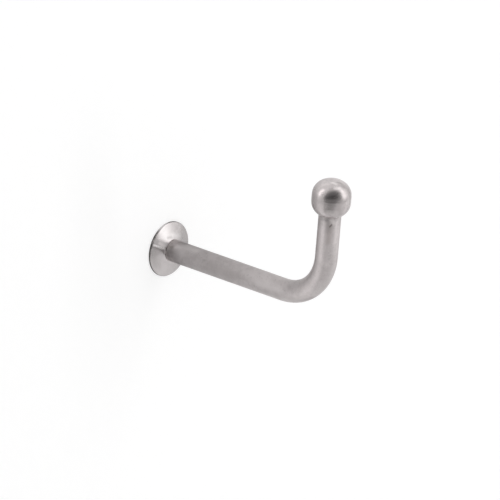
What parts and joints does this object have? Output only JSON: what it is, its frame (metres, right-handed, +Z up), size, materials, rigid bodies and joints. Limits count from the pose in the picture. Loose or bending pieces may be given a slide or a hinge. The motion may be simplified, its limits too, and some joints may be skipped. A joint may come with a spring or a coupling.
{
  "type": "cup hook",
  "caption": "Wall-fixed cup hook: a round bar bent up to a ball tip, with a conical rose against the wall and a wood-screw root; holds a cup or mug by its handle.",
  "frame": {"origin": "on the screw's axis, in the plane of the wall that the rose stands on", "axes": "+Y along the screw into the wall, -Y out along the arm, +Z up towards the ball tip, +X across the hook"},
  "size_m": [0.0125, 0.0743, 0.0356],
  "materials": {
    "bar": "satin",
    "rose": "polished"
  },
  "bodies": {
    "root": {"hook": "bar", "rose": "rose"}
  },
  "joints": []
}
